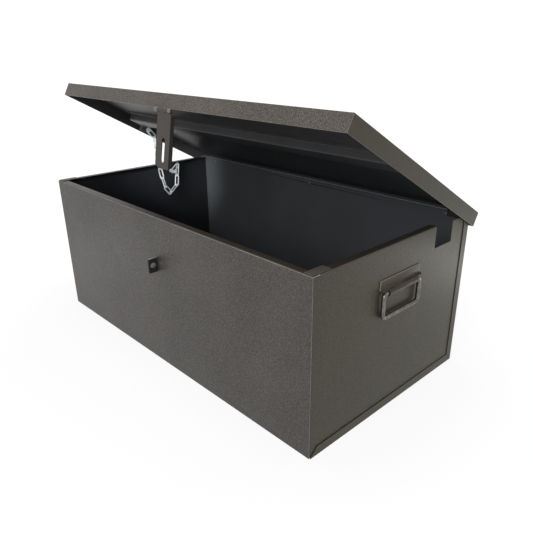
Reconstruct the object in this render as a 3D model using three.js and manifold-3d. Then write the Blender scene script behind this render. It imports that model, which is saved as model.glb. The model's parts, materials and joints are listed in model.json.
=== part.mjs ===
// Jobsite storage box: a folded sheet steel chest with a hinged lid, hasp, stay chain and drop handles.
// Units are millimetres, +Z is up, the front faces -Y and the origin is the middle of the underside.

import * as THREE from 'three';
import { mergeVertices } from 'three/addons/utils/BufferGeometryUtils.js';
import Module from 'manifold-3d';

const wasm = await Module();
wasm.setup();

// Box body
const boxLength = 1220;
const boxDepth = 650;
const boxHeight = 475;
const sheet = 2;
const bendRadius = 2;
const seam = 0.3;
const rimFlange = 22;
const backRimFlange = 10;
const lapFlange = 25;
const floorReturn = 22;
const cornerReturn = 18;
const frontLapSetback = 2;

// Notch in the right side wall, the post behind it, and the relief in the back wall's corner
const notchFromRear = 170;
const notchWidth = 83;
const notchDrop = 62;
const postCornerRadius = 8;
const postShoulderDrop = 14;
const postShoulderRun = 36;
const reliefDrop = 22;
const reliefFromEnd = 65;

// Stiffening plates on the rim's front corners
const cornerPlateLength = 57;
const cornerPlateWidth = 25;
const cornerPlateInset = 4;

// Lid
const lidSheet = 2;
const lidSkirt = 42;
const lidHeadroom = 4;
const lidSideGap = 10;
const lidFrontGap = 8;
const openAngle = 28.8;

// Lid rib, a hat section under the lid
const ribWidth = 60;
const ribDepth = 26;
const ribLip = 16;
const ribSheet = 2;
const ribFromRear = 385;
const ribRightGap = 38;

// Continuous hinge between the back wall and the lid's rear skirt
const hingeEndGap = 20;
const hingeKnuckles = 29;
const hingeLeaf = 1.5;
const hingeLeafHeight = 32;
const knuckleRadius = 4;
const hingePinRadius = 2.2;
const hingePinPlay = 0.3;
const knuckleGap = 0.6;

// Hinge rivets
const rivetShank = 2.5;
const rivetPlay = 0.3;
const rivetHead = 5;
const rivetDome = 1.6;
const rivetTail = 4;
const rivetTailHeight = 1.3;
const rivetDomeShares = [0.7, 0.8];
const rivetEndGap = 50;
const rivetStagger = 40;
const rivetHeight = 20;

// Hasp and its hinge on the lid's front skirt
const haspWidth = 64;
const haspLength = 155;
const haspSheet = 3;
const haspFlange = 12.6;
const haspOffset = 1;
const haspKnuckleRadius = 6;
const haspPinRadius = 3;
const haspPinPlay = 0.4;
const haspLeafHeight = 26;
const haspLeafSheet = 2;
const haspLeftKnuckle = 15;
const haspRightKnuckle = 13;
const haspSlotWidth = 14;
const haspSlotLength = 66;
const haspSlotDrop = 105;
const haspChamferWidth = 18;
const haspChamferHeight = 10;
const haspFlangeTop = 12;
const haspForwardLean = 9.5;

// Locking staple on the front wall
const stapleThickness = 6;
const stapleHeight = 41;
const stapleReach = 30;
const stapleDrop = 143.5;
const stapleHole = 13;
const stapleEdge = 4;
const stapleOffset = 4;
const stapleCorner = 6;

// Drop handles, one on each side wall
const handleWidth = 170;
const handlePlateHeight = 22;
const handleSheet = 2.4;
const handlePlay = 0.4;
const handleDrop = 118;
const handleRollWidth = 124;
const handleHoodEnd = 70;
const handleRollEnd = -130;
const bailRadius = 6;
const bailSpacing = 155;
const bailDrop = 67;
const bailBend = 12;

// Stay chain, its bolts and the bracket under the lid
const linkCount = 11;
const linkWire = 5;
const linkPitch = 42;
const linkWidth = 20;
const linkPlay = 1;
const chainLidLean = -51;
const chainWallLean = 222;
const linkRolls = [0, 90, 0, 90, 0, 90, 0, 90, 0, 90, 0];
const linkDriftShares = [-0.001, 0.001, 0.013, 0.031, 0.045, 0.103, 0.134, 0.159, 0.33, 0.12, 0.065];
const bracketSheet = 3;
const bracketLength = 50;
const bracketHeight = 40;
const bracketLip = 13;
const bracketInset = 45;
const bracketBoltBack = 25;
const bracketBoltUp = 10;
const boltRadius = 4;
const boltHeadWidth = 13;
const boltHeadHeight = 5.3;
const nutHeight = 6.5;
const boltPlay = 0.3;
const wallBoltFromRear = 183;
const wallBoltDrop = 37;
const wallBoltDome = 3.4;
const wallBoltDomeRadius = 9;
const wallBoltCrownRadius = 3.6;
const wallBoltDomeShares = [0.8, 0.6];
const wallLinkGap = 17;
const wallLinkRise = 6.8;
const boltOverhang = 3;

// Facets
const bendSteps = 3;
const rollSteps = 6;
const knuckleSides = 12;
const haspSides = 20;
const rivetSides = 12;
const nutSides = 6;
const linkSides = 8;
const linkAround = 16;
const bailSides = 12;
const bailAround = 16;
const overrun = 5;

// Places worked out from the sizes above
const halfLength = boxLength / 2;
const halfDepth = boxDepth / 2;
const wallInside = halfLength - sheet;
const frontInside = -halfDepth + sheet;
const backInside = halfDepth - sheet;
const lapOutside = halfLength + seam + sheet;
const hingeLength = boxLength - 2 * hingeEndGap;
const stapleHeightAboveFloor = boxHeight - stapleDrop;
const handleAxisHeight = boxHeight - handleDrop;
const wallBoltHeight = boxHeight - wallBoltDrop;
const rearGap = 2 * knuckleRadius + 2 * seam;
const lidTop = boxHeight + lidHeadroom + lidSheet;
const skirtBottom = lidTop - lidSkirt;
const lidUnder = lidTop - lidSheet;
const skirtSideInside = halfLength + lidSideGap;
const skirtSideOutside = skirtSideInside + lidSheet;
const skirtFrontInside = -halfDepth - lidFrontGap;
const skirtFrontOutside = skirtFrontInside - lidSheet;
const skirtRearInside = halfDepth + rearGap;
const skirtRearOutside = skirtRearInside + lidSheet;
const hingeY = halfDepth + seam + knuckleRadius;
const hingeZ = skirtBottom - seam - knuckleRadius;
const haspAxisY = skirtFrontInside + seam + haspLeafSheet - haspKnuckleRadius;
const haspAxisZ = skirtBottom - seam - haspKnuckleRadius;

// Colours and finishes
const paint = { color: 0x5f5a56, roughness: 0.55, metalness: 0.35 };
const paintSide = { color: 0x575750, roughness: 0.55, metalness: 0.35 };
const paintLid = { color: 0x625a52, roughness: 0.5, metalness: 0.35 };
const zinc = { color: 0xc4c8cc, roughness: 0.35, metalness: 0.9 };
const steel = { color: 0x8c8a86, roughness: 0.4, metalness: 0.85 };
const darkSteel = { color: 0x4c4842, roughness: 0.5, metalness: 0.5 };

// Solids
function toSolid(geometry) {
  const bare = geometry.clone();
  bare.deleteAttribute('normal');
  bare.deleteAttribute('uv');
  const merged = mergeVertices(bare);
  return new wasm.Manifold(new wasm.Mesh({
    numProp: 3,
    vertProperties: new Float32Array(merged.attributes.position.array),
    triVerts: new Uint32Array(merged.index.array),
  }));
}

function toGeometry(solid) {
  const mesh = solid.getMesh();
  const geometry = new THREE.BufferGeometry();
  geometry.setAttribute('position', new THREE.BufferAttribute(new Float32Array(mesh.vertProperties), 3));
  geometry.setIndex(new THREE.BufferAttribute(new Uint32Array(mesh.triVerts), 1));
  geometry.computeVertexNormals();
  return geometry;
}

function join(...geometries) {
  return geometries.map(toSolid).reduce((whole, piece) => whole.add(piece));
}

function cut(solid, ...geometries) {
  return geometries.map(toSolid).reduce((rest, piece) => rest.subtract(piece), solid);
}

function block(x, y, z) {
  const size = [x, y, z].map(([low, high]) => Math.abs(high - low));
  const middle = [x, y, z].map(([low, high]) => (low + high) / 2);
  return new THREE.BoxGeometry(...size).translate(...middle);
}

// A shape drawn in the plane of two axes, extruded along the third one between two places
function extrude(shape, depth, curveSegments = bendSteps * 2) {
  return new THREE.ExtrudeGeometry(shape, { depth, bevelEnabled: false, curveSegments });
}

function alongX(shape, [from, to], segments) {
  const turn = new THREE.Matrix4().makeBasis(
    new THREE.Vector3(0, 1, 0), new THREE.Vector3(0, 0, 1), new THREE.Vector3(1, 0, 0));
  return extrude(shape, to - from, segments).applyMatrix4(turn).translate(from, 0, 0);
}

function alongY(shape, [from, to], segments) {
  const turn = new THREE.Matrix4().makeBasis(
    new THREE.Vector3(1, 0, 0), new THREE.Vector3(0, 0, 1), new THREE.Vector3(0, -1, 0));
  return extrude(shape, to - from, segments).applyMatrix4(turn).translate(0, to, 0);
}

function alongZ(shape, [from, to], segments) {
  return extrude(shape, to - from, segments).translate(0, 0, from);
}

function polygon(...corners) {
  return new THREE.Shape(corners.map(([u, v]) => new THREE.Vector2(u, v)));
}

// The outline of a folded sheet: its middle line is a chain of corners, each bent to an inside radius
function foldedSheet(corners, thickness, insideRadius) {
  const points = corners.map(([u, v]) => new THREE.Vector2(u, v));
  const middle = [];
  points.forEach((corner, i) => {
    if (i === 0 || i === points.length - 1) {
      const other = points[i === 0 ? 1 : i - 1];
      const along = (i === 0 ? other.clone().sub(corner) : corner.clone().sub(other)).normalize();
      middle.push([corner, along]);
      return;
    }
    const before = corner.clone().sub(points[i - 1]).normalize();
    const after = points[i + 1].clone().sub(corner).normalize();
    const turn = Math.atan2(before.cross(after), before.dot(after));
    const radius = insideRadius + thickness / 2;
    const setback = radius * Math.tan(Math.abs(turn) / 2);
    const start = corner.clone().addScaledVector(before, -setback);
    const side = new THREE.Vector2(-before.y, before.x).multiplyScalar(Math.sign(turn));
    const centre = start.clone().addScaledVector(side, radius);
    for (let step = 0; step <= bendSteps; step += 1) {
      const angle = turn * step / bendSteps;
      middle.push([
        start.clone().rotateAround(centre, angle),
        before.clone().rotateAround(new THREE.Vector2(), angle),
      ]);
    }
  });
  const offset = (sign) => middle.map(([point, along]) => (
    new THREE.Vector2(-along.y, along.x).multiplyScalar(sign * thickness / 2).add(point)));
  return new THREE.Shape([...offset(1), ...offset(-1).reverse()]);
}

// A solid of revolution about its own Z axis from a closed profile of [radius, height] corners
function revolve(profile, sides) {
  const points = profile.map(([radius, height]) => new THREE.Vector2(radius, height));
  return new THREE.LatheGeometry([...points, points[0].clone()], sides).rotateX(Math.PI / 2);
}

function tube(outer, inner, [from, to], sides) {
  return revolve([[inner, from], [outer, from], [outer, to], [inner, to]], sides).rotateY(Math.PI / 2);
}

function rod(radius, [from, to], sides) {
  const length = to - from;
  return new THREE.CylinderGeometry(radius, radius, length, sides)
    .rotateZ(Math.PI / 2).translate(from + length / 2, 0, 0);
}

// A round wire ring pulled apart along X and Y: a long link or a rectangular bail with bent corners
function pulledRing(bend, wire, pullX, pullY, around, sides) {
  const ring = new THREE.TorusGeometry(bend, wire, sides, around).rotateZ(Math.PI / around);
  const place = ring.attributes.position;
  for (let i = 0; i < place.count; i += 1) {
    const x = place.getX(i);
    const y = place.getY(i);
    place.setXY(i, x + Math.sign(x) * pullX, y + Math.sign(y) * pullY);
  }
  return ring;
}

function hexagon(acrossFlats, [from, to]) {
  return rod(acrossFlats / 2 / Math.cos(Math.PI / nutSides), [from, to], nutSides);
}

function piece(name, shape, finish) {
  const geometry = shape.isBufferGeometry ? shape : toGeometry(shape);
  const mesh = new THREE.Mesh(geometry, new THREE.MeshStandardMaterial(finish));
  mesh.name = name;
  return mesh;
}

// Floor: a flat pan, turned up inside the front wall and lapped up outside both side walls
function makeFloor() {
  const rear = backInside - seam;
  const front = frontInside + seam;
  const lapFront = -halfDepth + frontLapSetback;
  const flat = (side) => polygon(
    [0, front], [side * wallInside, front], [side * wallInside, lapFront + lapFlange],
    [side * lapOutside, lapFront + lapFlange], [side * lapOutside, rear - sheet],
    [side * (lapOutside - sheet), rear - sheet], [side * (lapOutside - sheet), rear], [0, rear]);
  const lap = polygon(
    [lapFront, 0], [rear, 0], [rear - lapFlange, lapFlange], [lapFront + lapFlange, lapFlange]);
  const turnUp = block([-wallInside, wallInside], [front, front + sheet], [0, floorReturn]);
  const shelf = [-1, 1].map((side) => alongZ(flat(side), [0, sheet]));
  const laps = [
    alongX(lap, [-lapOutside, -lapOutside + sheet]),
    alongX(lap, [lapOutside - sheet, lapOutside]),
  ];
  const clearOfFront = block(
    [-lapOutside - overrun, lapOutside + overrun], [lapFront - overrun, front],
    [-overrun, lapFlange + overrun]);
  const middle = block([-sheet, sheet], [front, rear], [0, sheet]);
  return cut(join(middle, ...shelf, turnUp, ...laps), clearOfFront);
}

// Front wall: one sheet with its top edge folded in as the rim
function makeFrontWall() {
  const profile = foldedSheet([
    [-halfDepth + sheet / 2, 0],
    [-halfDepth + sheet / 2, boxHeight - sheet / 2],
    [-halfDepth + rimFlange, boxHeight - sheet / 2],
  ], sheet, bendRadius);
  return toSolid(alongX(profile, [-halfLength, halfLength]));
}

// Back wall: folded in along its top edge and wrapped round outside both side walls
function makeBackWall() {
  const profile = foldedSheet([
    [halfDepth - sheet / 2, 0],
    [halfDepth - sheet / 2, boxHeight - sheet / 2],
    [halfDepth - backRimFlange, boxHeight - sheet / 2],
  ], sheet, bendRadius);
  const mitre = halfDepth - sheet + seam;
  const wrap = polygon(
    [halfDepth, 0], [halfDepth, boxHeight], [halfDepth - lapFlange, boxHeight],
    [halfDepth - lapFlange, mitre - halfDepth + lapFlange], [mitre, 0]);
  const wall = join(
    alongX(profile, [-wallInside + seam, wallInside - seam]),
    block([-lapOutside, lapOutside], [backInside, halfDepth], [0, boxHeight - backRimFlange]),
    block([-lapOutside, -wallInside], [backInside, halfDepth], [0, boxHeight]),
    block([wallInside, lapOutside], [backInside, halfDepth], [0, boxHeight]),
    alongX(wrap, [-lapOutside, -lapOutside + sheet]),
    alongX(wrap, [lapOutside - sheet, lapOutside]),
  );
  const reliefInner = halfLength - reliefFromEnd;
  const relief = block(
    [reliefInner, halfLength - rimFlange], [halfDepth - rimFlange, halfDepth + overrun],
    [boxHeight - reliefDrop, boxHeight + overrun]);
  const flangeEnd = block(
    [reliefInner, wallInside + seam], [halfDepth - rimFlange, backInside],
    [boxHeight - reliefDrop, boxHeight + overrun]);
  return cut(wall, relief, flangeEnd, ...rivetHoles(0, backInside));
}

// Side wall: folded in along the top as the rim, with a spot-weld return behind the front wall
function makeSideWall(side) {
  const bottom = sheet + seam;
  const behindFront = frontInside + seam;
  const profile = foldedSheet([
    [side * (halfLength - sheet / 2), bottom],
    [side * (halfLength - sheet / 2), boxHeight - sheet / 2],
    [side * (halfLength - rimFlange), boxHeight - sheet / 2],
  ], sheet, bendRadius);
  const fold = block(
    [side * (wallInside - cornerReturn), side * halfLength], [behindFront, behindFront + sheet],
    [floorReturn + seam, boxHeight - sheet - bendRadius]);
  const wall = join(alongY(profile, [behindFront, backInside - seam]), fold);
  const underFrontRim = block(
    [side * (halfLength - rimFlange - overrun), side * (halfLength + overrun)],
    [frontInside, -halfDepth + rimFlange + seam], [boxHeight - sheet - seam, boxHeight + overrun]);
  const frontBend = block(
    [side * (halfLength - rimFlange - overrun), side * (halfLength + overrun)],
    [frontInside, frontInside + bendRadius + seam], [boxHeight - sheet - bendRadius, boxHeight]);
  const besideFloor = block(
    [side * (wallInside - overrun), side * (halfLength + overrun)],
    [behindFront - overrun, -halfDepth + frontLapSetback + lapFlange + seam], [0, bottom]);
  if (side < 0) {
    const clearOfBack = block(
      [-halfLength + sheet + seam, -halfLength + rimFlange + overrun],
      [halfDepth - backRimFlange - seam, halfDepth], [boxHeight - bendRadius - sheet, boxHeight + overrun]);
    return cut(wall, underFrontRim, frontBend, besideFloor, clearOfBack, ...wallBoltHole());
  }
  const front = halfDepth - notchFromRear;
  const rear = front + notchWidth;
  const above = boxHeight + overrun;
  const notch = new THREE.Shape();
  notch.moveTo(front, above);
  notch.lineTo(front, boxHeight - notchDrop);
  notch.lineTo(rear, boxHeight - notchDrop);
  notch.lineTo(rear, boxHeight - postCornerRadius);
  notch.absarc(
    rear + postCornerRadius, boxHeight - postCornerRadius, postCornerRadius, Math.PI, Math.PI / 2, true);
  notch.lineTo(halfDepth - lapFlange - postShoulderRun, boxHeight);
  notch.lineTo(halfDepth - lapFlange, boxHeight - postShoulderDrop);
  notch.lineTo(halfDepth + overrun, boxHeight - postShoulderDrop);
  notch.lineTo(halfDepth + overrun, above);
  const postRim = block(
    [halfLength - rimFlange - overrun, wallInside], [rear, halfDepth],
    [boxHeight - bendRadius - sheet, above]);
  return cut(
    wall, underFrontRim, frontBend, besideFloor, postRim,
    alongX(notch, [halfLength - rimFlange - overrun, halfLength + overrun], rollSteps));
}

// Rim plate that ties the front rim to the side rim
function makeCornerPlate(side) {
  const outer = halfLength - cornerPlateInset;
  const front = -halfDepth + cornerPlateInset;
  return block(
    [side * (outer - cornerPlateWidth), side * outer], [front, front + cornerPlateLength],
    [boxHeight + seam, boxHeight + seam + sheet]);
}

// Locking staple: an upright plate standing out of the front wall, with a hole for the padlock
function makeStaple() {
  const root = -halfDepth - seam;
  const tip = root - stapleReach;
  const low = stapleHeightAboveFloor - stapleHeight / 2;
  const high = stapleHeightAboveFloor + stapleHeight / 2;
  const outline = new THREE.Shape();
  outline.moveTo(root, low);
  outline.lineTo(root, high);
  outline.lineTo(tip + stapleCorner, high);
  outline.absarc(tip + stapleCorner, high - stapleCorner, stapleCorner, Math.PI / 2, Math.PI, false);
  outline.lineTo(tip, low + stapleCorner);
  outline.absarc(tip + stapleCorner, low + stapleCorner, stapleCorner, Math.PI, Math.PI * 1.5, false);
  outline.closePath();
  const hole = new THREE.Path();
  const eye = tip + stapleEdge + stapleHole / 2;
  hole.absarc(eye, stapleHeightAboveFloor, stapleHole / 2, 0, Math.PI * 2, true);
  outline.holes.push(hole);
  const from = stapleOffset - stapleThickness / 2;
  return alongX(outline, [from, from + stapleThickness], haspSides);
}

// Handle bracket: a plate folded out as a sloping hood, whose edge is rolled round the bail's top bar
const rollInner = bailRadius + handlePlay;
const rollOuter = rollInner + handleSheet;
const handleAxisX = halfLength + seam + rollOuter;

function rollSector(startAngle, endAngle) {
  const roll = new THREE.Shape();
  roll.absarc(0, 0, rollOuter, startAngle, endAngle, false);
  roll.absarc(0, 0, rollInner, endAngle, startAngle, true);
  roll.closePath();
  return roll;
}

function makeHandleBracket(side) {
  const hoodEnd = THREE.MathUtils.degToRad(handleHoodEnd);
  const rollEnd = THREE.MathUtils.degToRad(handleRollEnd);
  const steepness = 1 / Math.tan(hoodEnd / 2);
  const fold = rollOuter * steepness;
  const foldInside = rollInner * steepness;
  const hood = polygon(
    [-rollOuter, fold], [-rollOuter, fold + handlePlateHeight], [-rollInner, fold + handlePlateHeight],
    [-rollInner, fold], [rollOuter * Math.cos(hoodEnd), rollOuter * Math.sin(hoodEnd)],
    [rollInner * Math.cos(hoodEnd), rollInner * Math.sin(hoodEnd)], [-rollInner, foldInside],
    [-rollOuter, foldInside]);
  return piece(`${side > 0 ? 'right' : 'left'}_handle_bracket`, join(
    alongY(hood, [-handleWidth / 2, handleWidth / 2]),
    alongY(rollSector(rollEnd, hoodEnd), [-handleRollWidth / 2, handleRollWidth / 2], rollSteps * 2),
  ), paintSide);
}

function makeBail(side) {
  const pullY = (bailSpacing / 2) - bailBend;
  const pullZ = (bailDrop / 2) - bailBend;
  const ring = pulledRing(bailBend, bailRadius, pullZ, pullY, bailAround, bailSides)
    .rotateY(Math.PI / 2).translate(0, 0, -bailDrop / 2);
  return piece(side > 0 ? 'right_bail' : 'left_bail', ring, steel);
}

// Lid shell: a shallow tray turned upside down, with a skirt on all four sides
function makeLidSkin() {
  const outer = block(
    [-skirtSideOutside, skirtSideOutside], [skirtFrontOutside, skirtRearOutside], [skirtBottom, lidTop]);
  const inner = block(
    [-skirtSideInside, skirtSideInside], [skirtFrontInside, skirtRearInside],
    [skirtBottom - overrun, lidUnder]);
  return cut(toSolid(outer), inner, ...rivetHoles(rivetStagger, skirtRearInside));
}

// Lid rib: a hat section welded across the lid's underside
const ribRear = skirtRearOutside - ribFromRear;
const ribFront = ribRear - ribWidth;
const bracketFace = -skirtSideInside + bracketInset + bracketLip;

function makeLidRib() {
  const top = lidUnder - seam - ribSheet / 2;
  const low = lidUnder - seam - ribDepth + ribSheet / 2;
  const profile = foldedSheet([
    [ribFront - ribLip, top], [ribFront + ribSheet / 2, top], [ribFront + ribSheet / 2, low],
    [ribRear - ribSheet / 2, low], [ribRear - ribSheet / 2, top], [ribRear + ribLip, top],
  ], ribSheet, bendRadius);
  return alongX(profile, [bracketFace, skirtSideInside - ribRightGap]);
}

// Continuous hinge: each leaf carries every other knuckle, and both lie between skirt and back wall
const knucklePitch = hingeLength / hingeKnuckles;

function rivetPlaces(stagger) {
  const reach = hingeLength / 2 - rivetEndGap;
  return [-reach, 0, reach].map((x) => x + stagger);
}

function rivetHoles(stagger, from) {
  const radius = rivetShank + rivetPlay;
  return rivetPlaces(stagger).map((x) => (
    new THREE.CylinderGeometry(radius, radius, 2 * overrun, rivetSides)
      .translate(x, from, hingeZ + knuckleRadius + rivetHeight)));
}

function makeHingeLeaf(side, parity, stagger) {
  const near = side * knuckleRadius;
  const far = side * (knuckleRadius - hingeLeaf);
  const top = knuckleRadius + hingeLeafHeight;
  const parts = [block(
    [-hingeLength / 2, hingeLength / 2], [hingeY + near, hingeY + far],
    [hingeZ + knuckleRadius + seam, hingeZ + top])];
  for (let i = parity; i < hingeKnuckles; i += 2) {
    const from = -hingeLength / 2 + i * knucklePitch + knuckleGap / 2;
    const span = [from, from + knucklePitch - knuckleGap];
    parts.push(block(span, [hingeY + near, hingeY + far], [hingeZ, hingeZ + 2 * knuckleRadius]));
    parts.push(tube(knuckleRadius, hingePinRadius + hingePinPlay, span, knuckleSides)
      .translate(0, hingeY, hingeZ));
  }
  return cut(join(...parts), ...rivetHoles(stagger, hingeY + near));
}

// A blind rivet along Y: domed head on one face of the stack and a flat tail on the other
function makeRivet(name, x, headAt, tailAt) {
  const out = Math.sign(headAt - tailAt);
  const grip = Math.abs(headAt - tailAt) + 2 * seam;
  const [wideShare, highShare] = rivetDomeShares;
  const profile = [
    [0, -rivetDome], [rivetHead * wideShare, -rivetDome * highShare], [rivetHead, 0], [rivetShank, 0],
    [rivetShank, grip], [rivetTail, grip], [rivetTail, grip + rivetTailHeight], [0, grip + rivetTailHeight],
  ];
  const body = new THREE.LatheGeometry(profile.map(([r, h]) => new THREE.Vector2(r, h)), rivetSides)
    .rotateX(out > 0 ? Math.PI : 0)
    .translate(x, headAt + out * seam, hingeZ + knuckleRadius + rivetHeight);
  return piece(name, body, steel);
}

// Hasp hinge leaf inside the lid's front skirt, with a knuckle at each end of the barrel
const haspLeft = haspOffset - haspWidth / 2;
const haspRight = haspOffset + haspWidth / 2;

function makeHaspLeaf() {
  const leafY = [skirtFrontInside + seam, skirtFrontInside + seam + haspLeafSheet];
  const spans = [
    [haspLeft - seam - haspLeftKnuckle, haspLeft - seam],
    [haspRight - haspRightKnuckle, haspRight],
  ];
  const knuckles = spans.flatMap((span) => [
    block(span, leafY, [haspAxisZ, haspAxisZ + 2 * haspKnuckleRadius]),
    tube(haspKnuckleRadius, haspPinRadius + haspPinPlay, span, haspSides)
      .translate(0, haspAxisY, haspAxisZ),
  ]);
  const leaf = block(
    [haspLeft - seam - haspLeftKnuckle, haspRight], leafY,
    [haspAxisZ + haspKnuckleRadius + seam, haspAxisZ + haspKnuckleRadius + haspLeafHeight]);
  return join(leaf, ...knuckles);
}

function makeHaspPin() {
  return rod(haspPinRadius, [haspLeft - seam - haspLeftKnuckle, haspRight], haspSides);
}

// Hasp: a strap with side flanges, a slot for the staple and a knuckle rolled at its top
function makeHasp() {
  const half = haspSheet / 2;
  const knuckle = [haspLeft, haspRight - haspRightKnuckle - seam];
  const inner = haspPinRadius + haspPinPlay;
  const strap = polygon(
    [haspLeft, -haspKnuckleRadius], [haspLeft, -haspLength + haspChamferHeight],
    [haspLeft + haspChamferWidth, -haspLength], [haspRight, -haspLength],
    [haspRight, -haspKnuckleRadius - haspPinPlay], [knuckle[1], -haspKnuckleRadius - haspPinPlay],
    [knuckle[1], -haspPinRadius - 2 * haspPinPlay], [haspLeft, -haspPinRadius - 2 * haspPinPlay]);
  const flange = (x) => block(
    x, [half - haspSheet, haspFlange - half], [-haspLength + haspChamferHeight, -haspFlangeTop]);
  const body = join(
    alongY(strap, [-half, half]),
    tube(haspKnuckleRadius, inner, knuckle, haspSides),
    flange([haspLeft, haspLeft + haspSheet]),
    flange([haspRight - haspSheet, haspRight]),
  );
  const slot = new THREE.Shape();
  const slotHalf = haspSlotWidth / 2;
  const run = haspSlotLength / 2 - slotHalf;
  slot.absarc(stapleOffset, -haspSlotDrop + run, slotHalf, 0, Math.PI, false);
  slot.absarc(stapleOffset, -haspSlotDrop - run, slotHalf, Math.PI, Math.PI * 2, false);
  slot.closePath();
  return cut(body, alongY(slot, [-haspSheet, haspSheet], rollSteps));
}

// Chain bracket: an angle plate hung under the lid behind the rib's end, which the chain is bolted to
const bracketFront = ribRear + seam;
const lidBoltY = bracketFront + bracketBoltBack;
const lidBoltZ = lidUnder - seam - bracketHeight + bracketBoltUp;

function makeChainBracket() {
  const span = [lidUnder - seam - bracketHeight, lidUnder - seam];
  const web = block(
    [bracketFace - bracketSheet, bracketFace], [bracketFront, bracketFront + bracketLength], span);
  const lip = block(
    [bracketFace - bracketSheet - bracketLip, bracketFace], [bracketFront, bracketFront + bracketSheet],
    span);
  const hole = rod(boltRadius + boltPlay, [bracketFace - overrun, bracketFace + overrun], haspSides)
    .translate(0, lidBoltY, lidBoltZ);
  return cut(join(web, lip), hole);
}

// Bolts lie along X; the head end is at the high X
const lidLinkX = bracketFace + linkPlay + linkWire / 2;

function makeLidBolt() {
  const headFrom = lidLinkX + linkWire / 2 + linkPlay;
  const tail = bracketFace - bracketSheet - seam - nutHeight - boltOverhang;
  return join(
    hexagon(boltHeadWidth, [headFrom, headFrom + boltHeadHeight]),
    rod(boltRadius, [tail, headFrom + boltHeadHeight / 2], haspSides),
  );
}

function makeNut(from) {
  const span = [from, from + nutHeight];
  return cut(
    toSolid(hexagon(boltHeadWidth, span)),
    rod(boltRadius + boltPlay, [from - overrun, from + nutHeight + overrun], haspSides));
}

const wallNutFrom = -wallInside + seam;
const wallLinkX = wallNutFrom + nutHeight + wallLinkRise;
const lockNutFrom = wallNutFrom + nutHeight + wallLinkGap;
const wallBoltY = halfDepth - wallBoltFromRear;

function makeWallBolt() {
  const [wideShare, highShare] = wallBoltDomeShares;
  const dome = [
    [0, 0], [wallBoltDomeRadius, 0], [wallBoltDomeRadius * wideShare, wallBoltDome * highShare],
    [wallBoltCrownRadius, wallBoltDome], [0, wallBoltDome],
  ].map(([r, h]) => new THREE.Vector2(r, h));
  const head = new THREE.LatheGeometry(dome, haspSides).rotateZ(Math.PI / 2)
    .translate(-halfLength - seam, 0, 0);
  const shank = rod(
    boltRadius, [-halfLength - seam - wallBoltDome / 2, lockNutFrom + nutHeight + boltOverhang], haspSides);
  return join(head, shank);
}

function wallBoltHole() {
  return [rod(boltRadius + boltPlay, [-halfLength - overrun, -wallInside + overrun], haspSides)
    .translate(0, wallBoltY, wallBoltHeight)];
}

// Chain: the joints between links, counted from the lid's bolt to the wall's bolt.
// A link that lies flat in the chain's plane seats inside its neighbour, and a crossing one outside.
function isFlat(i) {
  return linkRolls[i % linkRolls.length] === 0;
}

function seatOffset(i, neighbour) {
  if (neighbour < 0 || neighbour >= linkCount) return linkWire / 2;
  if (isFlat(i)) return -linkWire / 2;
  return isFlat(neighbour) ? linkWire / 2 : 0;
}

const linkReaches = Array.from({ length: linkCount }, (_, i) => (
  linkPitch - linkPlay + seatOffset(i, i - 1) + seatOffset(i, i + 1)));
const linkSideSteps = linkReaches.map((_, i) => (
  linkDriftShares[i % linkDriftShares.length] * (wallLinkX - lidLinkX)));
const onBolt = boltRadius + linkWire / 2;
const linkSpans = linkReaches.map((reach, i) => (
  Math.sqrt(reach ** 2 - linkSideSteps[i] ** 2) - (i % (linkCount - 1) === 0 ? onBolt : 0)));

function turnedOpen(y, z) {
  const angle = THREE.MathUtils.degToRad(openAngle);
  return new THREE.Vector2(
    hingeY + (y - hingeY) * Math.cos(angle) + (z - hingeZ) * Math.sin(angle),
    hingeZ - (y - hingeY) * Math.sin(angle) + (z - hingeZ) * Math.cos(angle));
}

function along(length, angle) {
  return new THREE.Vector2(Math.cos(angle), Math.sin(angle)).multiplyScalar(length);
}

// Equal hanging links: the slope of each is the pull it carries, weight summed along the chain, over a
// steady sideways pull. Newton's method finds the two pulls that close the chain between its ends.
function hangingAngles(spans, reach) {
  const angles = ([logPull, load]) => spans.map((_, i) => Math.atan2(i + 0.5 - load, Math.exp(logPull)));
  const miss = (pulls) => {
    const end = new THREE.Vector2();
    angles(pulls).forEach((angle, i) => end.add(along(spans[i], angle)));
    return end.sub(reach);
  };
  const nudge = 1e-6;
  let pulls = [0, spans.length * 2 / 3];
  for (let round = 0; round < 60; round += 1) {
    const at = miss(pulls);
    const byPull = miss([pulls[0] + nudge, pulls[1]]).sub(at).divideScalar(nudge);
    const byLoad = miss([pulls[0], pulls[1] + nudge]).sub(at).divideScalar(nudge);
    const area = byPull.cross(byLoad);
    const step = [at.cross(byLoad) / area, byPull.cross(at) / area];
    const limit = Math.min(1, 0.5 / Math.hypot(...step));
    pulls = pulls.map((value, i) => value - step[i] * limit);
  }
  return angles(pulls);
}

function chainJoints() {
  const lean = [chainLidLean, chainWallLean].map(THREE.MathUtils.degToRad);
  const start = turnedOpen(lidBoltY, lidBoltZ);
  const end = new THREE.Vector2(wallBoltY, wallBoltHeight);
  const last = linkCount - 1;
  const reach = end.clone().sub(start)
    .sub(along(linkSpans[0], lean[0]))
    .sub(along(linkSpans[last], lean[1]));
  const angles = [lean[0], ...hangingAngles(linkSpans.slice(1, last), reach), lean[1]];
  const joints = [start];
  angles.forEach((angle, i) => joints.push(joints[i].clone().add(along(linkSpans[i], angle))));
  return joints;
}

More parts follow.
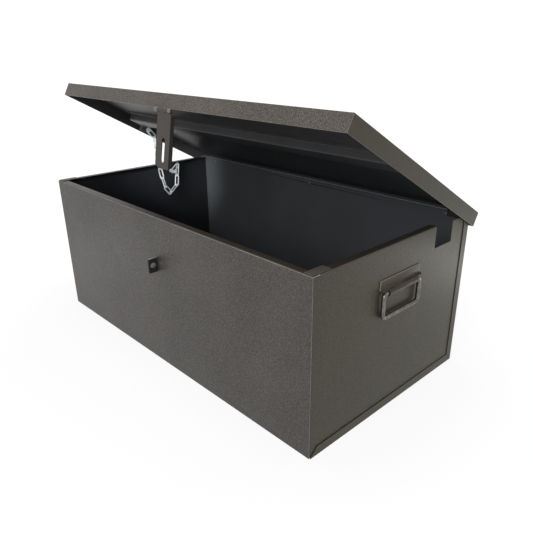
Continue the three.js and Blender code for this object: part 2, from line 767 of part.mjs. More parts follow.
// Each link lies between the two joints it turns on; at a bolt it runs on past it to its own wire
function makeChain() {
  const joints = chainJoints();
  const bend = (linkWidth - linkWire) / 2;
  const link = pulledRing(bend, linkWire / 2, 0, linkPitch / 2 + linkWire / 2 - bend, linkAround, linkSides);
  let side = lidLinkX;
  return linkSpans.map((span, i) => {
    const way = joints[i + 1].clone().sub(joints[i]).normalize();
    const from = joints[i].clone().addScaledVector(way, i === 0 ? -onBolt : 0);
    const to = joints[i + 1].clone().addScaledVector(way, i === linkCount - 1 ? onBolt : 0);
    const start = new THREE.Vector3(side, from.x, from.y);
    side += linkSideSteps[i];
    const axis = new THREE.Vector3(side, to.x, to.y).sub(start).normalize();
    const roll = THREE.MathUtils.degToRad(linkRolls[i % linkRolls.length]);
    const across = new THREE.Vector3(1, 0, 0).addScaledVector(axis, -axis.x).normalize()
      .applyAxisAngle(axis, roll);
    const mesh = piece(`chain_link_${String(i + 1).padStart(2, '0')}`, link.clone(), zinc);
    mesh.quaternion.setFromRotationMatrix(
      new THREE.Matrix4().makeBasis(axis.clone().cross(across), axis, across));
    mesh.position.copy(start).addScaledVector(axis, linkPitch / 2 + seatOffset(i, i - 1) - linkPlay / 2);
    return mesh;
  });
}

// Assembly
const box = new THREE.Group();
box.add(
  piece('floor_panel', makeFloor(), paint),
  piece('front_panel', makeFrontWall(), paint),
  piece('back_panel', makeBackWall(), paint),
  piece('left_side_panel', makeSideWall(-1), paintSide),
  piece('right_side_panel', makeSideWall(1), paintSide),
  piece('left_corner_plate', makeCornerPlate(-1), paint),
  piece('right_corner_plate', makeCornerPlate(1), paint),
  piece('lock_staple', makeStaple(), darkSteel),
  piece('hinge_body_leaf', makeHingeLeaf(-1, 0, 0), darkSteel),
);

const pin = rod(hingePinRadius, [-hingeLength / 2, hingeLength / 2], knuckleSides);
const hingePin = piece('hinge_pin', pin, steel);
hingePin.position.set(0, hingeY, hingeZ);
box.add(hingePin);

[-1, 1].forEach((side) => {
  const handle = new THREE.Group();
  handle.position.set(side * handleAxisX, 0, handleAxisHeight);
  handle.rotation.z = side > 0 ? 0 : Math.PI;
  handle.add(makeHandleBracket(side), makeBail(side));
  box.add(handle);
});

const sideNames = ['left', 'middle', 'right'];
rivetPlaces(0).forEach((x, i) => {
  box.add(makeRivet(`body_rivet_${sideNames[i]}`, x, backInside, halfDepth + seam + hingeLeaf));
});

const wallBolt = piece('chain_wall_bolt', makeWallBolt(), zinc);
const wallNut = piece('chain_wall_nut', makeNut(wallNutFrom), zinc);
const lockNut = piece('chain_lock_nut', makeNut(lockNutFrom), zinc);
[wallBolt, wallNut, lockNut].forEach((part) => {
  part.position.set(0, wallBoltY, wallBoltHeight);
  box.add(part);
});

makeChain().forEach((link) => box.add(link));

// The lid group turns about the hinge pin; its pieces are placed as they lie when it is shut
const lidShut = new THREE.Group();
lidShut.position.set(0, -hingeY, -hingeZ);
lidShut.add(
  piece('lid_skin', makeLidSkin(), paintLid),
  piece('lid_rib', makeLidRib(), paintLid),
  piece('hinge_lid_leaf', makeHingeLeaf(1, 1, rivetStagger), darkSteel),
  piece('chain_bracket', makeChainBracket(), paintLid),
  piece('hasp_leaf', makeHaspLeaf(), darkSteel),
);
const lidTailAt = hingeY + knuckleRadius - hingeLeaf;
rivetPlaces(rivetStagger).forEach((x, i) => {
  lidShut.add(makeRivet(`lid_rivet_${sideNames[i]}`, x, skirtRearOutside, lidTailAt));
});
const lidBolt = piece('chain_lid_bolt', makeLidBolt(), zinc);
const lidNut = piece('chain_lid_nut', makeNut(bracketFace - bracketSheet - seam - nutHeight), zinc);
[lidBolt, lidNut].forEach((part) => {
  part.position.set(0, lidBoltY, lidBoltZ);
  lidShut.add(part);
});

const hasp = new THREE.Group();
hasp.position.set(0, haspAxisY, haspAxisZ);
hasp.rotation.x = THREE.MathUtils.degToRad(openAngle - haspForwardLean);
hasp.add(piece('hasp_pin', makeHaspPin(), steel), piece('hasp_plate', makeHasp(), darkSteel));
lidShut.add(hasp);

const lid = new THREE.Group();
lid.position.set(0, hingeY, hingeZ);
lid.rotation.x = -THREE.MathUtils.degToRad(openAngle);
lid.add(lidShut);
box.add(lid);

export default box;
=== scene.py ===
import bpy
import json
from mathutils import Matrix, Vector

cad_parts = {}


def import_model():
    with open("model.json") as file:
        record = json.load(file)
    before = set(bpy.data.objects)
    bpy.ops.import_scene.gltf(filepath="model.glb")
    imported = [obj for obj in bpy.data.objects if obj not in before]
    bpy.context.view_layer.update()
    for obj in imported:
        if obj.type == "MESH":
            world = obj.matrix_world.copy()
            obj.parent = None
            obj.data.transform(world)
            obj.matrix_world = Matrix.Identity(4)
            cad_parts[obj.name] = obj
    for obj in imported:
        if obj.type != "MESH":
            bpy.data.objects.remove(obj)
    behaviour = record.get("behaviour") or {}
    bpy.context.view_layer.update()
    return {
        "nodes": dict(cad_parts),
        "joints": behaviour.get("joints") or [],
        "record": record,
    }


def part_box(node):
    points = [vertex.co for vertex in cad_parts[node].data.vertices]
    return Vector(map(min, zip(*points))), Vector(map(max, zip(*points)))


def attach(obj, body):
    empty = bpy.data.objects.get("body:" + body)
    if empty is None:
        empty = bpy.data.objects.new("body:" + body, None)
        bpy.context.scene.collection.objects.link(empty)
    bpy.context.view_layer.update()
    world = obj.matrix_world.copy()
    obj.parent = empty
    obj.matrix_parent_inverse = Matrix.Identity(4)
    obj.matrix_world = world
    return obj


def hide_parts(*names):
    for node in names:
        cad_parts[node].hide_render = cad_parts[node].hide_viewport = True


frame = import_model()

import json
import math

import bmesh
import bpy
import numpy as np
from mathutils import Matrix, Vector

MM = 0.001
RECORD = frame["record"]
SLOT_OF = {part["node"]: part["material_slot"] for part in RECORD["subparts"]}
BODY_OF = {node: body for body, nodes in RECORD["behaviour"]["bodies"].items() for node in nodes}

# Sizes of the box and of its lid, from the frame. The lid's own are those of the shut lid.

FRONT_LOW, FRONT_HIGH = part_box("front_panel")
HALF_LENGTH = FRONT_HIGH[0]
HALF_DEPTH = -FRONT_LOW[1]
BOX_HEIGHT = FRONT_HIGH[2]
LAPPED_HALF_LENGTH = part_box("back_panel")[1][0]
LID_HALF_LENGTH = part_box("lid_skin")[1][0]
LID_FRONT, LID_REAR = -335 * MM, 335.6 * MM
LID_LOW, LID_TOP = 439 * MM, 481 * MM
HALF_SHEET = 1 * MM

LID_HINGE = next(joint for joint in frame["joints"] if joint["name"] == "lid_hinge")
HINGE = Vector(LID_HINGE["pos_m"])
LID_OPEN = math.radians(-LID_HINGE["range_deg"][0])


# Node trees

class Nodes:
    """The nodes of a material or of the world."""

    def __init__(self, tree):
        self.tree = tree
        tree.nodes.clear()

    def node(self, kind, settings=None, inputs=None):
        """Adds a node: its settings first, then the values or links of its sockets."""
        node = self.tree.nodes.new(kind)
        for key, value in (settings or {}).items():
            setattr(node, key, value)
        for key, value in (inputs or {}).items():
            socket = node.inputs[key]
            if isinstance(value, Value):
                self.tree.links.new(value.socket, socket)
            elif isinstance(value, bpy.types.NodeSocket):
                self.tree.links.new(value, socket)
            else:
                socket.default_value = value
        return node

    def seen(self):
        """1 for rays that show a thing directly, in a reflection or through glass, 0 for rays of light."""
        rays = self.node("ShaderNodeLightPath")
        kinds = "Is Camera Ray", "Is Glossy Ray", "Is Transmission Ray"
        camera, glossy, clear = (Value(self, rays.outputs[kind]) for kind in kinds)
        return camera.most(glossy).most(clear)


class Value:
    """A number that varies over a surface. Its operators add Math nodes."""

    def __init__(self, nodes, socket):
        self.nodes = nodes
        self.socket = socket

    def math(self, operation, *others):
        inputs = dict(enumerate([self, *others]))
        node = self.nodes.node("ShaderNodeMath", {"operation": operation}, inputs)
        return Value(self.nodes, node.outputs[0])

    def __add__(self, other):
        return self.math("ADD", other)

    def __sub__(self, other):
        return self.math("SUBTRACT", other)

    def __mul__(self, other):
        return self.math("MULTIPLY", other)

    def __abs__(self):
        return self.math("ABSOLUTE")

    def __neg__(self):
        return self.math("MULTIPLY", -1.0)

    def __rsub__(self, other):
        return -self + other

    __radd__ = __add__
    __rmul__ = __mul__

    def least(self, other):
        return self.math("MINIMUM", other)

    def most(self, other):
        return self.math("MAXIMUM", other)

    def root(self):
        return self.math("SQRT")

    def ramp(self, low, high, start=0.0, end=1.0):
        """start up to low, end from high on, and a smooth S between."""
        inputs = {0: self, 1: low, 2: high, 3: start, 4: end}
        node = self.nodes.node("ShaderNodeMapRange", {"interpolation_type": "SMOOTHSTEP"}, inputs)
        return Value(self.nodes, node.outputs[0])


class Finish(Nodes):
    """One material, built from a few kinds of pattern on Object coordinates."""

    def __init__(self, name):
        self.material = bpy.data.materials.new(name)
        self.material.use_nodes = True
        super().__init__(self.material.node_tree)
        self.place = self.node("ShaderNodeTexCoord").outputs["Object"]

    def mapped(self, place, **inputs):
        inputs["Vector"] = place
        return self.node("ShaderNodeMapping", {"vector_type": "POINT"}, inputs).outputs[0]

    def turned(self, turn, about):
        """Object coordinates turned by an angle about the X axis through a point."""
        shift = about - Matrix.Rotation(turn, 3, "X") @ about
        return self.mapped(self.place, Location=shift, Rotation=(turn, 0, 0))

    def split(self, place=None):
        node = self.node("ShaderNodeSeparateXYZ", None, {0: place or self.place})
        return [Value(self, output) for output in node.outputs]

    def noise(self, size, detail=2.0, roughness=0.5, place=None, stretch=None):
        """Fractal noise, about 0 to 1, whose blotches are about size metres across."""
        place = place or self.place
        if stretch:
            place = self.mapped(place, Scale=stretch)
        inputs = {"Vector": place, "Scale": 1 / size, "Detail": detail, "Roughness": roughness}
        node = self.node("ShaderNodeTexNoise", {"noise_dimensions": "3D"}, inputs)
        return Value(self, node.outputs[0])

    def pebbles(self, size, place):
        """Soft distance to the middle of the nearest of pebbles that are about size metres across."""
        settings = {"feature": "SMOOTH_F1", "voronoi_dimensions": "3D"}
        inputs = {"Vector": place, "Scale": 1 / size, "Smoothness": 0.6}
        return Value(self, self.node("ShaderNodeTexVoronoi", settings, inputs).outputs[0])

    def mixed(self, share, first, second):
        """The first colour where share is 0, the second where it is 1."""
        settings = {"data_type": "RGBA", "clamp_factor": True}
        return self.node("ShaderNodeMix", settings, {0: share, 6: first, 7: second}).outputs[2]

    def bump(self, height, strength, depth):
        inputs = {"Height": height, "Strength": strength, "Distance": depth}
        return self.node("ShaderNodeBump", None, inputs).outputs[0]

    def surface(self, shader):
        self.node("ShaderNodeOutputMaterial", None, {"Surface": shader.outputs[0]})
        return self.material

    def done(self, colour, roughness, metallic, normal, fixed=None):
        """Closes the material; fixed holds the sockets that are the same all over."""
        varying = {"Base Color": colour, "Roughness": roughness, "Metallic": metallic, "Normal": normal}
        return self.surface(self.node("ShaderNodeBsdfPrincipled", None, {**varying, **(fixed or {})}))


def rgb(red, green, blue):
    """A colour as it is written on screen, 0 to 255, in linear light."""
    def linear(v):
        v = v / 255
        return v / 12.92 if v <= 0.04045 else ((v + 0.055) / 1.055) ** 2.4
    return (linear(red), linear(green), linear(blue), 1.0)


def lit(colour, times):
    return tuple(times * part for part in colour[:3]) + (1.0,)


# Places on the box

def facing_out(place_xyz, half_length, front=None, rear=None, top=None):
    """1 on the outer faces of the sheets, 0 on the inner ones. The limits run halfway through a sheet."""
    x, y, z = place_xyz
    soft = 0.4 * MM
    share = abs(x).ramp(half_length - soft, half_length + soft)
    if front is not None:
        share = share.most(y.ramp(front + soft, front - soft)).most(y.ramp(rear - soft, rear + soft))
    if top is not None:
        share = share.most(z.ramp(top - soft, top + soft))
    return share


def edge_distance(place_xyz, half_length, y_range, z_range):
    """Distance of a point on a box from the nearest of its edges: of its distances to the three pairs of
    faces, the second least is small only where two faces meet."""
    x, y, z = place_xyz
    along = abs(abs(x) - half_length)
    across, up = (
        abs(abs(value - (low + high) / 2) - (high - low) / 2)
        for value, (low, high) in ((y, y_range), (z, z_range))
    )
    return along.least(across).most(along.most(across).least(up))


BOX_EDGES = (HALF_LENGTH, (-HALF_DEPTH, HALF_DEPTH), (0.0, BOX_HEIGHT))
LAP_EDGES = (LAPPED_HALF_LENGTH, (-HALF_DEPTH, HALF_DEPTH), (0.0, BOX_HEIGHT))
LID_EDGES = (LID_HALF_LENGTH, (LID_FRONT, LID_REAR), (LID_LOW, LID_TOP))
BOX_SKIN = {
    "half_length": HALF_LENGTH - HALF_SHEET,
    "front": HALF_SHEET - HALF_DEPTH,
    "rear": HALF_DEPTH - HALF_SHEET,
}
SIDE_SKIN = {"half_length": HALF_LENGTH - HALF_SHEET}
LID_SKIN = {
    "half_length": LID_HALF_LENGTH - HALF_SHEET,
    "front": LID_FRONT + HALF_SHEET,
    "rear": LID_REAR - HALF_SHEET,
    "top": LID_TOP - HALF_SHEET,
}


# Colours of the coats

def tones(coat, grain_and_glint_fleck, pit, steel):
    return {"coat": rgb(*coat), "grain_and_glint_fleck": rgb(*grain_and_glint_fleck), "pit": rgb(*pit), "steel": rgb(*steel)}


# The fleck tones are light flecks that are partly the coat's grain and partly painted glints.
BODY_TONES = tones(coat=(85, 81, 77), grain_and_glint_fleck=(134, 128, 122), pit=(54, 50, 47), steel=(136, 144, 148))
SIDE_TONES = tones(coat=(68, 63, 45), grain_and_glint_fleck=(102, 96, 74), pit=(52, 48, 34), steel=(150, 146, 126))
LID_TONES = tones(coat=(99, 92, 85), grain_and_glint_fleck=(178, 168, 156), pit=(54, 50, 46), steel=(190, 182, 170))
END_OF_SHEET = rgb(65, 61, 44)
INSIDE = rgb(94, 98, 102)
# Painted shade: the left wall's inside is a darker copy of the other walls' insides.
INSIDE_LEFT_SHADE = rgb(46, 48, 52)
INSIDE_LID = rgb(70, 70, 72)
# The rim's flat: painted shade in dark brown at the front and ends, a painted highlight near the back.
RIM_PAINTED_SHADE = rgb(58, 50, 43)
BACK_RIM_HIGHLIGHT = rgb(190, 192, 196)
# Painted highlights along the outer top bend of the walls.
BODY_LIP_HIGHLIGHT = rgb(206, 196, 180)
SIDE_LIP_HIGHLIGHT = rgb(116, 110, 88)
# Painted highlight along the handle plate's outline.
PLATE_OUTLINE_HIGHLIGHT = rgb(176, 170, 150)
COAT_GLOSS = {"Specular IOR Level": 0.4}


# Finishes

def powder_coat(
    name, tone, inside, skin, edges, wear,
    grain_and_glint_share=0.55, fleck_size=2.2 * MM, turn=0.0, end_from=None, lip=None, chipped=False,
):
    """Textured powder coat: small soft pebbles, light flecks that are partly the coat's grain and partly
    painted glints, slow clouds of tone, and bare steel along worn edges. Inside, the same coat is thinner,
    bluer and smooth. What faces an end of the box, from end_from on, has the tone of that end. A coat with a
    lip has the box's rim, painted shade in dark brown on its flat with a painted highlight near the back
    wall, and a painted highlight along its outer bend. Chips through to the steel lie near the edges at the
    foot of the box."""
    f = Finish(name)
    place = f.turned(turn, HINGE)
    x, y, z = f.split(place)
    clouds = f.noise(220 * MM, place=place)
    grain = f.noise(3.2 * MM, roughness=0.6, place=place)
    flecks = f.noise(fleck_size, detail=1.0, place=place)
    pebbles = f.pebbles(4.2 * MM, place)
    outside = facing_out((x, y, z), **skin)

    pits = (grain * 0.65 + pebbles * 0.55).ramp(0.42, 0.78)
    outer = f.mixed(pits * 0.55 + clouds.ramp(0.35, 0.7) * 0.3, tone["coat"], tone["pit"])
    # Light flecks: partly the coat's grain, partly painted glints.
    outer = f.mixed(flecks.ramp(0.54, 0.70) * grain_and_glint_share, outer, tone["grain_and_glint_fleck"])
    if end_from is not None:
        outer = f.mixed(abs(x).ramp(end_from - 0.1 * MM, end_from + 0.1 * MM), outer, END_OF_SHEET)

    inner = f.mixed(clouds.ramp(0.3, 0.75) * 0.5, inside, lit(inside, 0.7))
    inner = f.mixed(flecks.ramp(0.62, 0.78) * 0.35, inner, lit(inside, 1.9))
    if lip is not None:
        # Painted shade on the rim's flat, with a painted highlight where it runs along the back wall.
        rim = f.mixed(y.ramp(HALF_DEPTH - 40 * MM, HALF_DEPTH - 30 * MM), RIM_PAINTED_SHADE, BACK_RIM_HIGHLIGHT)
        inner = f.mixed(z.ramp(BOX_HEIGHT - 1.2 * MM, BOX_HEIGHT - 0.6 * MM), inner, rim)
    colour = f.mixed(outside, inner, outer)

    distance = edge_distance((x, y, z), *edges)
    wander = (f.noise(12 * MM, 4.0, 0.65, place) - 0.5) * (1.4 * MM)
    worn = (distance + wander).ramp(1.1 * MM, 0.3 * MM) * wear
    if chipped:
        chips = distance.ramp(6 * MM, 2 * MM) * f.noise(4.5 * MM, 1.0, 0.5, place).ramp(0.70, 0.73)
        worn = worn.most(chips * z.ramp(160 * MM, 80 * MM))
    colour = f.mixed(worn, colour, tone["steel"])
    if lip is not None:
        # Painted highlight along the outer top bend, broken up by slow noise.
        bend = z.ramp(BOX_HEIGHT - 2.6 * MM, BOX_HEIGHT - 1.8 * MM) * outside
        colour = f.mixed(bend * f.noise(50 * MM, 3.0, 0.6, place).ramp(0.3, 0.6, 0.35, 0.8), colour, lip)

    outer_rough = grain * 0.14 + 0.40
    inner_rough = f.noise(30 * MM, 3.0, 0.6, place) * 0.12 + 0.36
    rough = (outer_rough * outside + inner_rough * (1 - outside)) * (1 - worn * 0.35)
    metal = (0.15 * outside).most(worn * 0.8)
    height = (pebbles * 0.9 + grain * 0.5) * (outside * 0.9 + 0.1)
    return f.done(colour, rough, metal, f.bump(height, 0.28, 1.2 * MM), COAT_GLOSS)


def side_coat(name, inside):
    return powder_coat(name, SIDE_TONES, inside, SIDE_SKIN, LAP_EDGES, wear=0.3, lip=SIDE_LIP_HIGHLIGHT)


def handle_coat():
    """The coat of the end wall on the handle's plate, with a painted highlight along its outline. The hood
    and roll that stand out from the plate are darker, browner and glossier, with light streaks along their
    length that are painted highlights."""
    f = Finish("handle_coat")
    x, y, z = f.split()
    half_width, plate_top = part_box("right_handle_bracket")[1][1:]
    grain = f.noise(3.2 * MM, roughness=0.6)
    plate = f.mixed(grain.ramp(0.35, 0.7) * 0.6, SIDE_TONES["coat"], SIDE_TONES["pit"])
    outline = (plate_top - z).least(half_width - abs(y))
    # Painted highlight along the plate's top and sides.
    plate = f.mixed(outline.ramp(1.7 * MM, 0.7 * MM) * 0.7, plate, PLATE_OUTLINE_HIGHLIGHT)
    # Painted highlights: light streaks along the hood and roll.
    highlight_streaks = f.noise(1.2 * MM, 1.0, stretch=(1, 0.02, 1))
    roll = f.mixed(highlight_streaks.ramp(0.56, 0.70) * 0.7, rgb(54, 46, 38), rgb(132, 116, 98))
    out = abs(x).ramp(HALF_LENGTH + 3.2 * MM, HALF_LENGTH + 5.2 * MM)
    colour = f.mixed(out, plate, roll)
    rough = grain * 0.14 + 0.42 - out * 0.24
    return f.done(colour, rough, out * 0.3 + 0.12, f.bump(grain, 0.2, 0.8 * MM), COAT_GLOSS)


def painted_hardware(name, tone, dark, edge, roughness):
    """Thin paint on small steel pieces, rubbed through where it is touched."""
    f = Finish(name)
    grain = f.noise(2.4 * MM, 3.0, 0.6)
    worn = f.noise(9 * MM, 4.0, 0.7).ramp(0.62, 0.76) * 0.55
    colour = f.mixed(grain.ramp(0.35, 0.7) * 0.7, tone, dark)
    colour = f.mixed(worn, colour, edge)
    return f.done(colour, roughness + grain * 0.15, worn * 0.5 + 0.25, f.bump(grain, 0.18, 0.6 * MM))


def plated_steel(name, tone, dull, roughness, metal, blotch_size=4 * MM, dents=0.15, coat=0.0):
    """Zinc or bare steel: slow tarnish blotches, fine scratches and a soft ripple."""
    f = Finish(name)
    blotch = f.noise(blotch_size, 3.0, 0.6)
    scratch = f.noise(1.2 * MM, 3.0, 0.7, stretch=(1, 1, 0.15))
    colour = f.mixed(blotch.ramp(0.35, 0.7), tone, dull)
    rough = roughness + blotch * 0.18 + scratch.ramp(0.5, 0.8) * 0.12
    metallic = f.noise(20 * MM) * 0.06 + metal
    normal = f.bump(blotch + scratch * 0.4, dents, 0.4 * MM)
    return f.done(colour, rough, metallic, normal, {"Coat Weight": coat, "Coat Roughness": 0.08})


finishes = {
    "body_paint": powder_coat(
        "body_powder_coat", BODY_TONES, INSIDE, BOX_SKIN, BOX_EDGES, wear=0.8,
        end_from=HALF_LENGTH + 0.6 * MM, lip=BODY_LIP_HIGHLIGHT, chipped=True,
    ),
    "side_paint": side_coat("side_powder_coat", INSIDE),
    "lid_paint": powder_coat(
        "lid_powder_coat", LID_TONES, INSIDE_LID, LID_SKIN, LID_EDGES, wear=0.35,
        grain_and_glint_share=0.6, fleck_size=2.5 * MM, turn=LID_OPEN, end_from=LID_HALF_LENGTH - 0.3 * MM,
    ),
    "dark_steel": painted_hardware(
        "dark_painted_steel", rgb(66, 60, 55), rgb(50, 46, 42), rgb(112, 104, 95), roughness=0.36,
    ),
    "steel": plated_steel("dull_steel", rgb(176, 173, 168), rgb(120, 118, 114), roughness=0.3, metal=0.7),
    "zinc": plated_steel(
        "bright_zinc", rgb(252, 255, 255), rgb(226, 236, 242), roughness=0.2, metal=0.2, dents=0.1, coat=0.8,
    ),
}
staple_coat = painted_hardware(
    "staple_coat", rgb(46, 46, 46), rgb(34, 35, 36), rgb(84, 82, 78), roughness=0.38,
)
staple_top_highlight = plated_steel("staple_top_highlight", rgb(205, 199, 186), rgb(150, 145, 134), roughness=0.34, metal=0.4)
corner_coat = painted_hardware(
    "corner_plate_coat", rgb(100, 94, 84), rgb(84, 79, 70), rgb(128, 121, 108), roughness=0.42,
)
gunmetal = plated_steel(
    "gunmetal", rgb(118, 115, 112), rgb(84, 81, 78), roughness=0.12, metal=0.85,
    blotch_size=12 * MM, dents=0.03,
)
hasp_roll = plated_steel(
    "hasp_roll", rgb(116, 106, 98), rgb(82, 74, 67), roughness=0.16, metal=0.6,
    blotch_size=8 * MM, dents=0.06, coat=0.5,
)
own_finish = {
    # The left wall's inside takes the darker inside tone, which is painted shade.
    "left_side_panel": side_coat("left_side_coat_painted_shade_inside", INSIDE_LEFT_SHADE),
    **dict.fromkeys(["left_handle_bracket", "right_handle_bracket"], handle_coat()),
    **dict.fromkeys(["left_corner_plate", "right_corner_plate"], corner_coat),
    **dict.fromkeys(["left_bail", "right_bail"], gunmetal),
    **dict.fromkeys(["hasp_leaf", "hasp_pin"], hasp_roll),
}


# Pieces

def added(name, data):
    """A new object in the scene that holds the mesh, lamp or camera."""
    thing = bpy.data.objects.new(name, data)
    bpy.context.scene.collection.objects.link(thing)
    return thing


def mesh_piece(name, points, faces, material):
    mesh = bpy.data.meshes.new(name)
    mesh.from_pydata(np.asarray(points, float).reshape(-1, 3).tolist(), [], np.asarray(faces).tolist())
    mesh.update()
    mesh.materials.append(material)
    return added(name, mesh)


def wrapped_grid(rows, columns):
    """Faces of a grid of points that closes round both its rows and its columns."""
    row, column = np.meshgrid(np.arange(rows), np.arange(columns), indexing="ij")
    down = (row + 1) % rows
    across = (column + 1) % columns
    here, below = row * columns, down * columns
    return np.stack([here + column, below + column, below + across, here + across], -1).reshape(-1, 4)


def stand_for(piece, node):
    """The piece takes the node's place on its body, and the node is hidden."""
    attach(piece, BODY_OF[node])
    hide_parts(node)


def dress(node, material, round_edge):
    """A copy of a CAD node with its loose faces joined, curved faces shaded smooth and its edges rounded."""
    mesh = frame["nodes"][node].data.copy()
    mesh.name = node + "_dressed"
    work = bmesh.new()
    work.from_mesh(mesh)
    bmesh.ops.remove_doubles(work, verts=work.verts, dist=0.002 * MM)
    bmesh.ops.dissolve_limit(work, angle_limit=math.radians(0.4), verts=work.verts, edges=work.edges)
    work.to_mesh(mesh)
    work.free()
    mesh.shade_smooth()
    mesh.set_sharp_from_angle(angle=math.radians(35))
    mesh.materials.clear()
    mesh.materials.append(material)
    piece = added(node + "_dressed", mesh)
    cut = piece.modifiers.new("rounded_edges", "BEVEL")
    cut.width = round_edge
    cut.segments = 2
    cut.limit_method = "ANGLE"
    cut.angle_limit = math.radians(40)
    cut.harden_normals = False
    stand_for(piece, node)


def node_points(node):
    """The corners of a CAD node, each once."""
    mesh = frame["nodes"][node].data
    points = np.zeros(len(mesh.vertices) * 3)
    mesh.vertices.foreach_get("co", points)
    return np.unique(np.round(points.reshape(-1, 3), 7), axis=0)


def chain_link(node, steps=96, sides=20, slimmer=0.96):
    """A round wire bent to a flat ring with straight sides and half-round ends.
    A bend's middle slides along one side, waits while the wire turns half a circle about it, slides back
    along the other side and waits again. The wire's middle is one bend radius out from it, and the round
    section is carried along. Middle, long axis, cross axis and face axis are those of the CAD link, and the
    wire is a little thinner than the CAD link's."""
    points = node_points(node)
    _, _, axes = np.linalg.svd(points - points.mean(0), full_matrices=False)
    low, high = (points @ axes.T).min(0), (points @ axes.T).max(0)
    middle = axes.T @ ((low + high) / 2)
    length, width, wire = high - low
    radius = wire / 2 * slimmer
    bend = (width - wire) / 2
    side = length - width
    arc = np.pi * bend
    run = np.linspace(0, 2 * (arc + side), steps, endpoint=False)
    slid = np.clip(run, 0, side) - np.clip(run - side - arc, 0, side) - side / 2
    turned = (np.clip(run - side, 0, arc) + np.clip(run - 2 * side - arc, 0, arc)) / bend
    outward = np.stack([np.sin(turned), np.cos(turned)], -1) @ axes[:2]
    spine = middle + slid[:, None] * axes[0] + bend * outward
    angle = np.linspace(0, 2 * np.pi, sides, endpoint=False)[None, :, None]
    ring = spine[:, None] + radius * (np.cos(angle) * outward[:, None] + np.sin(angle) * axes[2])
    faces = wrapped_grid(steps, sides)
    if np.linalg.det(axes) > 0:
        faces = faces[:, ::-1]
    piece = mesh_piece(node + "_wire", ring, faces, finishes["zinc"])
    piece.data.shade_smooth()
    stand_for(piece, node)


def staple(steps=96):
    """The padlock's eye: an upright plate with two rounded corners and a round hole.
    Its outline runs round the hole's middle by angle, as far as the nearest side or corner arc of the plate,
    and the surface goes hole edge, face, outline, other face, with a small chamfer along the outline. The
    upper edge of the plate is light steel, a painted highlight for the light from above."""
    height, hole, hole_from_tip, corner, chamfer = 44 * MM, 8.6 * MM, 14.5 * MM, 4 * MM, 0.6 * MM
    (left, tip, bottom), (right, root, top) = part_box("lock_staple")
    middle = np.array([tip + hole_from_tip, (bottom + top) / 2])
    low, high = np.array([tip, middle[1] - height / 2]), np.array([root, middle[1] + height / 2])
    angle = np.linspace(0, 2 * np.pi, steps, endpoint=False)
    way = np.stack([np.cos(angle), np.sin(angle)], -1)
    with np.errstate(divide="ignore"):
        to_side = np.where(way > 0, (high - middle) / way, (low - middle) / way)
    to_side = np.where(np.abs(way) < 1e-9, np.inf, to_side).min(-1)
    outline = middle + way * to_side[:, None]
    for end in (-1, 1):
        centre = np.array([tip + corner, middle[1] + end * (height / 2 - corner)])
        gap = centre - middle
        along = way @ gap
        to_arc = along + np.sqrt(np.maximum(along ** 2 - gap @ gap + corner ** 2, 0))
        rounded = (outline[:, 0] < centre[0]) & (end * (outline[:, 1] - centre[1]) > 0)
        outline[rounded] = (middle + way * to_arc[:, None])[rounded]
    inward = (middle - outline) / np.linalg.norm(middle - outline, axis=1)[:, None]
    face, rim = outline + inward * chamfer, middle + way * hole
    layers = (
        (right, rim), (right, face), (right - chamfer, outline),
        (left + chamfer, outline), (left, face), (left, rim),
    )
    rings = np.array([np.column_stack([np.full(steps, x), shape]) for x, shape in layers])
    piece = mesh_piece("staple_eye_plate", rings, wrapped_grid(len(rings), steps), staple_coat)
    piece.data.shade_smooth()
    piece.data.materials.append(staple_top_highlight)
    # Painted highlight: the plate's upper edge takes the light steel finish.
    bare = np.zeros((len(rings), steps), dtype=np.int32)
    bare[1:4] = outline[:, 1] > high[1] - 0.4 * MM
    piece.data.polygons.foreach_set("material_index", bare.ravel())
    piece.data.set_sharp_from_angle(angle=math.radians(30))
    stand_for(piece, "lock_staple")


def dress_box():
    for node in sorted(frame["nodes"]):
        if node.startswith("chain_link"):
            chain_link(node)
        elif node == "lock_staple":
            staple()
        else:
            wide = node.endswith("_panel") or node == "lid_skin"
            dress(node, own_finish.get(node, finishes[SLOT_OF[node]]), 0.5 * MM if wide else 0.35 * MM)


# Floor, light and camera

def floor():
    """Pale to the light, so that it keeps the box's shadow, near white to the eye, and white further off."""
    half, drop = 40, 0.5 * MM
    f = Finish("pale_floor")
    x, y, z = f.split()
    far = (x * x + y * y).root().ramp(0.7, 1.5, 0.8, 1.0)
    diffuse = f.node("ShaderNodeBsdfDiffuse", None, {"Color": (0.92, 0.92, 0.92, 1)})
    glow = f.node("ShaderNodeEmission", None, {"Color": (1, 1, 1, 1), "Strength": 1.1})
    seen = f.seen() * far
    mix = f.node("ShaderNodeMixShader", None, {0: seen, 1: diffuse.outputs[0], 2: glow.outputs[0]})
    corners = [(-half, -half, -drop), (half, -half, -drop), (half, half, -drop), (-half, half, -drop)]
    piece = mesh_piece("studio_floor", corners, [(0, 1, 2, 3)], f.surface(mix))


def world():
    """White where it is seen, dim where it only lights."""
    sky = bpy.data.worlds.new("studio_world")
    sky.use_nodes = True
    bpy.context.scene.world = sky
    n = Nodes(sky.node_tree)
    dim = n.node("ShaderNodeBackground", None, {"Color": (0.96, 0.98, 1.0, 1), "Strength": 0.25})
    white = n.node("ShaderNodeBackground", None, {"Color": (1, 1, 1, 1), "Strength": 1.0})
    mix = n.node("ShaderNodeMixShader", None, {0: n.seen(), 1: dim.outputs[0], 2: white.outputs[0]})
    n.node("ShaderNodeOutputWorld", None, {"Surface": mix.outputs[0]})


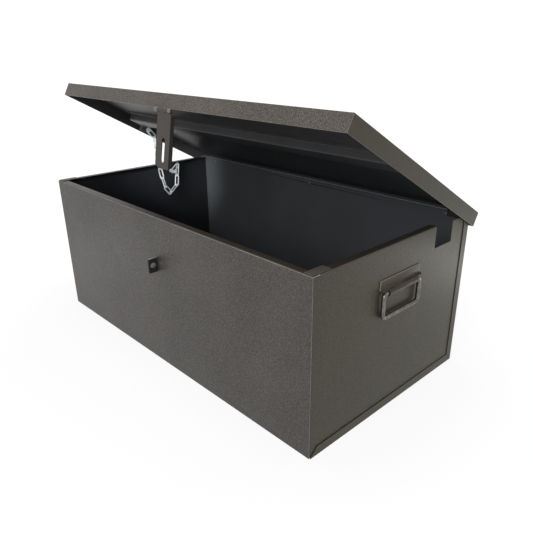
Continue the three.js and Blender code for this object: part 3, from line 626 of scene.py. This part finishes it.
def lamp(name, where, aim, size, watts, spread=180):
    """A soft rectangular lamp, aimed at a point."""
    data = bpy.data.lights.new(name, "AREA")
    data.shape = "RECTANGLE"
    data.size, data.size_y = size
    data.energy = watts
    data.spread = math.radians(spread)
    piece = added(name, data)
    piece.location = where
    piece.rotation_euler = (Vector(aim) - Vector(where)).to_track_quat("-Z", "Y").to_euler()


def camera():
    """The photograph's camera. Its focal length and the middle of its lens are in pixels."""
    where = (1.2962, -1.0906, 0.9192)
    turn, drop, roll = math.radians(46.104), math.radians(23.032), math.radians(-0.297)
    focal, centre_x, centre_y, pixels = 543.9, 276.2, 274.0, 533
    sensor = 36
    forward = Vector((-math.sin(turn) * math.cos(drop), math.cos(turn) * math.cos(drop), -math.sin(drop)))
    right = Vector((math.cos(turn), math.sin(turn), 0))
    up = right.cross(forward)
    right, up = right * math.cos(roll) + up * math.sin(roll), up * math.cos(roll) - right * math.sin(roll)
    data = bpy.data.cameras.new("photo_camera")
    data.sensor_width = sensor
    data.lens = focal / pixels * sensor
    data.shift_x = (pixels / 2 - centre_x) / pixels
    data.shift_y = (centre_y - pixels / 2) / pixels
    data.clip_end = 200
    piece = added("photo_camera", data)
    piece.matrix_world = Matrix.Translation(where) @ Matrix((right, up, -forward)).transposed().to_4x4()
    bpy.context.scene.camera = piece


dress_box()
floor()
world()

# The two low lamps lighten the foot of the front wall's left end and the rear of the right wall. The narrow
# one brings out the chain, which the lid and the walls keep in their shade.

lamp("low_left_lamp", (-0.93, -0.86, 0.04), (-0.4, -0.325, 0.06), (0.3, 0.2), 0.08, spread=52)
lamp("chain_lamp", (-0.05, -1.05, 0.93), (-0.57, 0.06, 0.48), (0.1, 0.1), 0.15, spread=14)
lamp("low_rear_lamp", (0.92, 0.92, 0.04), (0.61, 0.0, 0.2), (0.3, 0.2), 0.8)
lamp("fill_lamp", (1.2, -2.4, 1.7), (0, 0.1, 0.3), (0.9, 0.9), 20)
lamp("top_lamp", (-0.2, 0.3, 3.6), (0, 0, 0.4), (3.0, 2.4), 45)

camera()

bpy.context.scene.view_settings.view_transform = "Standard"
